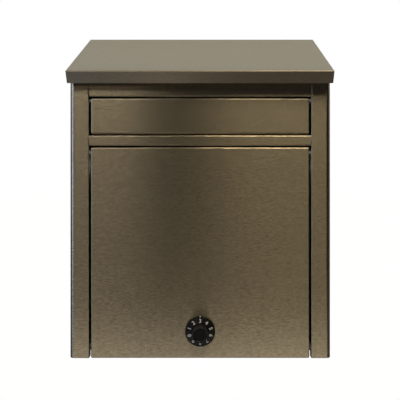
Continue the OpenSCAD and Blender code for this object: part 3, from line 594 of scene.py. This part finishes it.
# The lip has a finish of its own, whose brushing is real and whose darker tint is painted shade: its faces
# are those below the roof's plane and ahead of a line that leans with the lip. Its turned ends are painted
# shade, a near-black steel that stands in for the shadow at the lid's front corners.
def finishLip(lid):
    mesh = lid.data
    mesh.materials.append(materials["lipShadedSteel"])
    mesh.materials.append(materials["paintedShadeSteel"])
    centres = np.zeros(len(mesh.polygons) * 3)
    mesh.polygons.foreach_get("center", centres)
    ahead, high = centres[1::3] - eaveY, centres[2::3] - eaveZ
    sine, cosine = math.sin(roof["slope"]), math.cos(roof["slope"])
    run, rise = ahead * cosine + high * sine, high * cosine - ahead * sine
    lean = math.tan(roof["lipLean"] - roof["slope"])
    onShadedLip = (rise < -roof["lipShadeBelow"]) & (run < roof["lipShadeBehind"] - rise * lean)
    # The turned ends get the painted shade
    onShadedEnd = onShadedLip & (np.abs(centres[0::3]) > bodyHalf + roof["skirtGap"])
    mesh.polygons.foreach_set("material_index", onShadedLip.astype(np.int32) + onShadedEnd)


finishLip(makePiece("roofLid", buildLid(), "lid", ["lid_panel"], materials["roofSteel"],
                    cutEdge=sheetStock["cutEdgeRadius"]))
print("lid built")


# The flap and the door, which are folded trays
trays = {
    "edgeRadius": 2 * mm,        # outside, round the front face
    "edgeSteps": 8,
    "flapTopDepth": 6 * mm,
    "flapHemY": 13.6 * mm,       # behind the front, to the middle of the sheet
    "flapHemDrop": 6.4 * mm,
    "flapTaper": (8.6 * mm, 3.6 * mm),   # below the top edge, where the sides' depth changes
    "flapShoulder": 7 * mm,              # the sides' depth at the upper of the two
    "doorDepth": 13 * mm,
    "doorHemTop": 16 * mm,
    "doorStep": 1 * mm,          # over which the sides deepen past the hem
}


# Stations along one side of a box, closer together in the rounded edges, where each stands for an equal turn
def sideStations(half, extra=()):
    edge = trays["edgeRadius"]
    roll = half - edge + edge * np.tan(np.linspace(0, math.pi / 4, trays["edgeSteps"] + 1))
    return np.sort(np.concatenate([-roll, roll, np.asarray(extra, float)]))


# A box's front and four sides pushed onto a rounded skin: the nearest point of its core plus the radius times
# the direction away from the core. The inner skin is the same with the radius less the sheet.
def buildTray(centreZ, halfX, halfZ, sideDepth, topDepth, bottomDepth, extraZ=()):
    edge, t = trays["edgeRadius"], sheetStock["thickness"]
    xs, zs = sideStations(halfX), sideStations(halfZ, extraZ)
    roll = edge - edge * np.tan(np.linspace(math.pi / 4, 0, trays["edgeSteps"] + 1))

    def skin(points, radius):
        core = np.stack([np.clip(points[..., 0], edge - halfX, halfX - edge),
                         np.maximum(points[..., 1], edge),
                         np.clip(points[..., 2], edge - halfZ, halfZ - edge)], -1)
        away = points - core
        away /= np.linalg.norm(away, axis=-1, keepdims=True)
        return core + radius * away + [0, frontY, centreZ]

    def grid(x, depth, z):
        return np.stack(np.broadcast_arrays(x, depth, z), -1)

    def flange(depths):
        return np.concatenate([np.repeat(roll[:, None], len(depths), 1), depths[None, :]])

    flanges = [
        grid(-halfX, flange(sideDepth(zs)), zs[None, :]),
        grid(halfX, flange(sideDepth(zs)), zs[None, :]),
        grid(xs[None, :], flange(topDepth + 0 * xs), halfZ),
        grid(xs[None, :], flange(bottomDepth + 0 * xs), -halfZ),
    ]
    front = grid(xs[None, :], 0, zs[:, None])
    parts = []
    for patch in [front, *flanges]:
        for radius in (edge, edge - t):
            parts.append((skin(patch, radius).reshape(-1, 3), gridFaces(*patch.shape[:2])))
    for patch in flanges:
        rim = np.stack([skin(patch[-1], edge), skin(patch[-1], edge - t)])
        parts.append((rim.reshape(-1, 3), gridFaces(*rim.shape[:2])))
    return parts


# A tray, plus a hem that drops from its bottom edge; the sides' depth runs straight between the knots
def buildFlap():
    t, bend = sheetStock["thickness"], sheetStock["bendRadius"]
    low = railHigh + (fasciaLow - flapHigh)
    half = (flapHigh - low) / 2
    hemY = frontY + trays["flapHemY"]
    bottomDepth = trays["flapHemY"] - bend
    knots = half - np.array([*trays["flapTaper"], trays["edgeRadius"]])
    depths = [bottomDepth, trays["flapShoulder"], trays["flapTopDepth"]]
    tray = buildTray((low + flapHigh) / 2, panelHalf, half, lambda z: np.interp(z, knots, depths),
                     trays["flapTopDepth"], bottomDepth, knots[:2])
    hem = [[frontY + bottomDepth, low + t / 2], [hemY, low + t / 2], [hemY, low - trays["flapHemDrop"]]]
    hemHalf = panelHalf - trays["edgeRadius"]
    return tray + [sweptSheet(sheetOutline(hem, [bend]), [-hemHalf, hemHalf], across)]


# A tray, plus a hem that rises behind its bottom edge
def buildDoor():
    t, bend = sheetStock["thickness"], sheetStock["bendRadius"]
    low, high = (corner.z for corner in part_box("front_door"))
    half = (high - low) / 2
    hemY = frontY + trays["doorDepth"] - t / 2
    bottomDepth = trays["doorDepth"] - t / 2 - bend
    knots = trays["edgeRadius"] - half + np.array([0, trays["doorStep"]])
    tray = buildTray((low + high) / 2, panelHalf, half,
                     lambda z: np.interp(z, knots, [bottomDepth, trays["doorDepth"]]),
                     trays["doorDepth"], bottomDepth, knots[1:])
    hem = [[frontY + bottomDepth, low + t / 2], [hemY, low + t / 2], [hemY, low + trays["doorHemTop"]]]
    return tray + [sweptSheet(sheetOutline(hem, [bend]), [-panelHalf + t, panelHalf - t], across)]


makePiece("mailFlap", buildFlap(), "flap", ["mail_flap"], materials["frontSteel"])
makePiece("frontDoor", buildDoor(), "door", ["front_door"], materials["frontSteel"])
print("flap and door built")


# The dial lock on the door
lock = {
    "ringRadius": 22.2 * mm,
    "ringDepth": 3 * mm,
    "ringEdge": 0.5 * mm,
    "ringSteps": 360,
    "tabReach": 1.4 * mm,        # the index tab at the top of the ring
    "tabHalfWidth": 2.6 * mm,
    "tabShoulder": 1 * mm,
    "dialRadius": 20.6 * mm,
    "dialFrom": 3.3 * mm,        # ahead of the door
    "dialTo": 6.7 * mm,
    "dialEdge": 0.3 * mm,
    "dialSteps": 144,
    "slopeFrom": 12.4 * mm,
    "slope": math.radians(18),   # the face falls away towards its rim
    "bore": 3.05 * mm,
    "knobFoot": 11.8 * mm,
    "knobCrown": 11.4 * mm,
    "knobLength": 21 * mm,
    "knobEdge": 1 * mm,
    "knobTaper": 0.05 * mm,
    "knobSteps": 480,
    "dishRim": 2.5 * mm,         # the shallow dish in the knob's end
    "dishWall": 0.8 * mm,
    "dishDepth": 1 * mm,
    "dishEdge": 0.4 * mm,
    "flutes": 24,
    "fluteDepth": 0.75 * mm,
    "fluteFrom": 2 * mm,         # ahead of the dial
    "fluteRunIn": 1.5 * mm,
    "fluteInside": 0.8,          # a share of the foot's radius, within which the end stays plain
    "digits": 10,
    "digitUp": 3,                # the one at the top
    "digitHeight": 5.2 * mm,
    "digitShare": 0.7,           # a digit's height over the font's size
    "digitRing": 16.6 * mm,
    "digitRelief": 0.15 * mm,
    "digitStroke": 0.1 * mm,     # added all round each stroke
    "digitWeld": 0.001 * mm,
    "markRadius": 1.1 * mm,      # the dot on the index tab
    "markDome": 0.35 * mm,
    "markFoot": 0.2 * mm,
    "markUp": 1.5 * mm,          # above the dial's rim
}
dialLow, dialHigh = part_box("lock_dial")
lockAxis = ((dialLow.x + dialHigh.x) / 2, (dialLow.z + dialHigh.z) / 2)


# How far the dial's face stands ahead at a radius: level by the knob, then a cone
def dialFace(radius):
    return lock["dialTo"] - np.clip(radius - lock["slopeFrom"], 0, None) * math.tan(lock["slope"])


# The rim swells into an index tab at the top: a smooth step of the angle away from straight up
def ringShape(radius, ahead, angle):
    away = np.abs((angle + math.pi) % (2 * math.pi) - math.pi) * lock["ringRadius"]
    step = np.clip((lock["tabHalfWidth"] - away) / lock["tabShoulder"] + 0.5, 0, 1)
    return radius + lock["tabReach"] * step * step * (3 - 2 * step) * (radius > lock["dialRadius"])


# Scallops round the knob: a raised cosine of the angle, squared, that starts above the foot
def knobShape(radius, ahead, angle):
    start = np.clip((ahead - lock["dialTo"] - lock["fluteFrom"]) / lock["fluteRunIn"], 0, 1)
    scallop = (0.5 + 0.5 * np.cos(lock["flutes"] * angle)) ** 2
    return radius - lock["fluteDepth"] * scallop * start * (radius > lock["fluteInside"] * lock["knobFoot"])


# Three turned profiles of [radius, distance ahead of the door], from the axis outwards and back in
def buildLock():
    bore, rim, front = lock["bore"], lock["ringRadius"], lock["ringDepth"]
    ring = roundedProfile([[bore, 0], [rim, 0], [rim, front], [bore, front]], [0, lock["ringEdge"]])
    makePiece("lockRing", [turnedOnLock(ring, lock["ringSteps"], lockAxis, True, ringShape)], "door",
              ["lock_base_ring"], materials["dialBlack"])

    rim, low, high = lock["dialRadius"], lock["dialFrom"], lock["dialTo"]
    dial = roundedProfile([[bore, low], [rim, low], [rim, dialFace(rim)], [lock["slopeFrom"], high],
                           [bore, high]], [lock["dialEdge"]] * 3)
    makePiece("lockDial", [turnedOnLock(dial, lock["dialSteps"], lockAxis, True)], "dial",
              ["lock_dial"], materials["dialBlack"])

    foot, crown, end = lock["knobFoot"], lock["knobCrown"], high + lock["knobLength"]
    fluteLow = high + lock["fluteFrom"]
    fluteHigh = fluteLow + lock["fluteRunIn"]
    dish, floor, taper = crown - lock["dishRim"], end - lock["dishDepth"], lock["knobTaper"]
    knob = roundedProfile([[0, high], [foot, high], [foot - taper, fluteLow], [foot - 2 * taper, fluteHigh],
                           [crown, end], [dish, end], [dish - lock["dishWall"], floor], [0, floor]],
                          [lock["dialEdge"], 0, 0, lock["knobEdge"], lock["dishEdge"], lock["dishEdge"]])
    makePiece("dialKnob", [turnedOnLock(knob, lock["knobSteps"], lockAxis, False, knobShape)], "dial",
              ["dial_knob"], materials["dialBlack"])


# One digit, centred, moved out to the ring of digits, turned about the lock's axis by its share of a circle,
# and set down on the dial's face
def buildDigit(number):
    curve = bpy.data.curves.new(f"digit{number}", "FONT")
    curve.body, curve.size = str(number), lock["digitHeight"] / lock["digitShare"]
    curve.align_x, curve.align_y = "CENTER", "CENTER"
    curve.extrude, curve.offset = lock["digitRelief"], lock["digitStroke"]
    text = bpy.data.objects.new(f"digitText{number}", curve)
    bpy.context.scene.collection.objects.link(text)
    bpy.context.view_layer.update()
    mesh = bpy.data.meshes.new_from_object(text.evaluated_get(bpy.context.evaluated_depsgraph_get()))
    bpy.data.objects.remove(text)
    angle = 2 * math.pi * (number - lock["digitUp"]) / lock["digits"]
    corners = np.zeros(len(mesh.vertices) * 3)
    mesh.vertices.foreach_get("co", corners)
    corners = corners.reshape(-1, 3)
    corners[:, :2] -= (corners[:, :2].max(0) + corners[:, :2].min(0)) / 2
    aside, up = corners[:, 0], corners[:, 1] + lock["digitRing"]
    placed = np.stack([lockAxis[0] + aside * math.cos(angle) + up * math.sin(angle),
                       frontY - dialFace(np.hypot(aside, up)) - corners[:, 2],
                       lockAxis[1] - aside * math.sin(angle) + up * math.cos(angle)], -1)
    faces = [list(face.vertices) for face in mesh.polygons]
    bpy.data.meshes.remove(mesh)
    return placed, faces


# All the digits in one piece, tops outwards
def buildDigits():
    points, faces, first = [], [], 0
    for number in range(lock["digits"]):
        placed, own = buildDigit(number)
        points.append(placed)
        faces += [[corner + first for corner in face] for face in own]
        first += len(placed)
    mesh = bpy.data.meshes.new("dialDigits")
    mesh.from_pydata(np.concatenate(points).tolist(), [], faces)
    weldMesh(mesh, lock["digitWeld"])
    mesh.materials.append(materials["markingPaint"])
    digits = bpy.data.objects.new("dialDigits", mesh)
    bpy.context.scene.collection.objects.link(digits)
    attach(digits, "dial")


# A low dome on the ring's tab: the height is the dome's times the square root of one minus the squared share
# of the radius
def buildIndexMark():
    reach, ring, foot = lock["markRadius"], lock["ringDepth"], lock["ringDepth"] - lock["markFoot"]
    share = np.sin(np.linspace(0, math.pi / 2, 7))
    dome = np.stack([reach * share, ring + lock["markDome"] * np.sqrt(1 - share**2)], 1)
    profile = np.concatenate([dome, [[reach, foot], [0, foot]]])
    axis = (lockAxis[0], lockAxis[1] + lock["dialRadius"] + lock["markUp"])
    makePiece("indexMark", [turnedOnLock(profile, 24, axis, False)], "door", [],
              materials["markingPaint"])


buildLock()
buildDigits()
buildIndexMark()
print("dial lock built")


# The finish of each node that keeps its own shape
nodeFinishes = {
    "innerSteel": ["back_panel", "floor_panel", "parcel_baffle", "door_stiffener", "flap_weight"],
    "hingeSteel": ["lid_hinge_fixed_leaf", "lid_hinge_moving_leaf"],
    "fastenerSteel": ["lid_hinge_pin", "lid_studs", "lid_nuts", "shell_rivets", "floor_rivets",
                      "front_rivets", "hinge_rivets", "flap_pivot_pin_left", "flap_pivot_pin_right",
                      "door_pivot_pin_left", "door_pivot_pin_right", "lock_screws", "cam_washer",
                      "cam_screw"],
    "bushingNylon": ["flap_bushing_left", "flap_bushing_right", "door_bushing_left", "door_bushing_right"],
    "stopRubber": ["lid_bumper_left", "lid_bumper_right", "door_bumper_left", "door_bumper_right"],
    "lockBrass": ["dial_spindle", "tumbler_wheel_1", "tumbler_wheel_2", "tumbler_wheel_3", "drive_wheel"],
    "lockZinc": ["lock_housing", "lock_cover", "lock_cam"],
    "spacerPlastic": ["wheel_spacers"],
}
for finish, nodes in nodeFinishes.items():
    for name in nodes:
        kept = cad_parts[name].data
        kept.materials.clear()
        kept.materials.append(materials[finish])
print("kept nodes finished")


# The camera and the room
studio = {
    "cameraPlace": (0.0144, -1.274, 0.1143),
    "lens": 65.3,
    "sensor": 36,
    "shift": (-0.0247, -0.11),
    "floorSize": 12.0,           # from its middle to each side
    "floorDrop": 0.42,           # below the box, which hangs on a wall
    "floorColour": (1.0, 1.0, 0.995, 1),
    "floorShade": (0.16, 0.15, 0.14, 1),
    "surround": (0.006, 0.008, 0.010),
}

# Two high front lights with a narrow gap between them, which the brushed front draws down into a dark band
softLights = {
    "leftKey": {"place": (-1.10, -2.7, 2.45), "aim": (-0.3, -0.2, 0.1), "size": (1.48, 0.8),
                "power": 18.4, "colour": (1.0, 0.972, 0.84)},
    "leftLow": {"place": (-1.10, -3.0, 0.9), "aim": (-0.3, -0.2, 0.0), "size": (1.48, 0.5),
                "power": 1.2, "colour": (1.0, 0.83, 0.69)},
    "rightTop": {"place": (0.96, -1.8, 3.1), "aim": (0.3, -0.2, 0.1), "size": (2.04, 1.1),
                 "power": 70, "colour": (1.0, 0.902, 0.674)},
    "coolMiddle": {"place": (-2.0, -0.95, 0.2), "aim": (-0.19, -0.2, 0.1), "size": (1.2, 0.8),
                   "power": 7, "colour": (0.515, 0.665, 1.0)},
    "coolHigh": {"place": (-1.85, -1.35, 1.6), "aim": (-0.19, -0.2, 0.1), "size": (1.1, 0.9),
                 "power": 11, "colour": (0.66, 0.79, 1.0)},
    "leftSide": {"place": (-2.4, 0.2, 1.1), "aim": (-0.19, -0.1, 0.1), "size": (1.4, 1.2),
                 "power": 4, "colour": (0.74, 0.86, 1.0)},
    "rightRear": {"place": (2.3, 0.8, 0.7), "aim": (0.19, -0.1, 0.05), "size": (1.4, 1.2),
                  "power": 3, "colour": (1.0, 0.93, 0.80)},
    "rear": {"place": (0, 2.7, 0.5), "aim": (0, 0, 0.05), "size": (1.8, 1.2),
             "power": 12, "colour": (1.0, 0.98, 0.95)},
    "overBack": {"place": (0, 1.5, 1.4), "aim": (0, -0.1, 0.25), "size": (2.4, 1.2),
                 "power": 5.2, "colour": (1.0, 0.97, 0.835)},
    "bottomGlow": {"place": (0, -0.31, -0.24), "aim": (0, -0.2, -0.13), "size": (0.7, 0.10),
                   "power": 0.12, "colour": (1.0, 0.98, 0.92)},
}


# A rectangular soft light that looks at a point
def softLight(name, place, aim, size, power, colour):
    light = bpy.data.lights.new(name, "AREA")
    light.shape, light.size, light.size_y = "RECTANGLE", *size
    light.energy, light.color = power, colour
    lamp = bpy.data.objects.new(name, light)
    lamp.location = place
    lamp.rotation_euler = (Vector(aim) - Vector(place)).to_track_quat("-Z", "Y").to_euler()
    lamp.visible_camera = False
    bpy.context.scene.collection.objects.link(lamp)


# Level and square to the front; the shift puts the box in the frame without tilting it
def buildCamera():
    camera = bpy.data.cameras.new("camera")
    camera.lens, camera.sensor_width = studio["lens"], studio["sensor"]
    camera.shift_x, camera.shift_y = studio["shift"]
    holder = bpy.data.objects.new("camera", camera)
    holder.location, holder.rotation_euler = studio["cameraPlace"], (math.pi / 2, 0, 0)
    bpy.context.scene.collection.objects.link(holder)
    bpy.context.scene.camera = holder


# White to the eye, dim to everything that the metal reflects
def buildWorld():
    world = bpy.data.worlds.new("studioWorld")
    bpy.context.scene.world = world
    world.use_nodes = True
    tree = world.node_tree
    tree.nodes.clear()
    dim = addNode(tree, "ShaderNodeBackground", {"Color": (*studio["surround"], 1), "Strength": 1.0})
    white = addNode(tree, "ShaderNodeBackground", {"Color": (1, 1, 1, 1), "Strength": 1.0})
    seen = addNode(tree, "ShaderNodeLightPath").outputs["Is Camera Ray"]
    mix = addNode(tree, "ShaderNodeMixShader", links={0: seen, 1: dim.outputs[0], 2: white.outputs[0]})
    addNode(tree, "ShaderNodeOutputWorld", links={"Surface": mix.outputs[0]})


# Pale to the eye, and dim to what the metal reflects, as the box hangs far from any floor
def buildFloor():
    size, z = studio["floorSize"], bottomZ - studio["floorDrop"]
    mesh = bpy.data.meshes.new("floor")
    corners = [(-size, -size, z), (size, -size, z), (size, size, z), (-size, size, z)]
    mesh.from_pydata(corners, [], [(0, 1, 2, 3)])
    material = bpy.data.materials.new("floorPaper")
    material.use_nodes = True
    tree = material.node_tree
    tree.nodes.clear()
    seen = addNode(tree, "ShaderNodeLightPath").outputs["Is Camera Ray"]
    pale = addNode(tree, "ShaderNodeEmission", {"Color": studio["floorColour"], "Strength": 1.0})
    dim = addNode(tree, "ShaderNodeBsdfDiffuse", {"Color": studio["floorShade"]})
    mix = addNode(tree, "ShaderNodeMixShader", links={0: seen, 1: dim.outputs[0], 2: pale.outputs[0]})
    addNode(tree, "ShaderNodeOutputMaterial", links={"Surface": mix.outputs[0]})
    mesh.materials.append(material)
    floor = bpy.data.objects.new("floor", mesh)
    bpy.context.scene.collection.objects.link(floor)


buildCamera()
buildWorld()
buildFloor()
for name, light in softLights.items():
    softLight(name, **light)
bpy.context.scene.view_settings.view_transform = "Standard"
print("studio built")
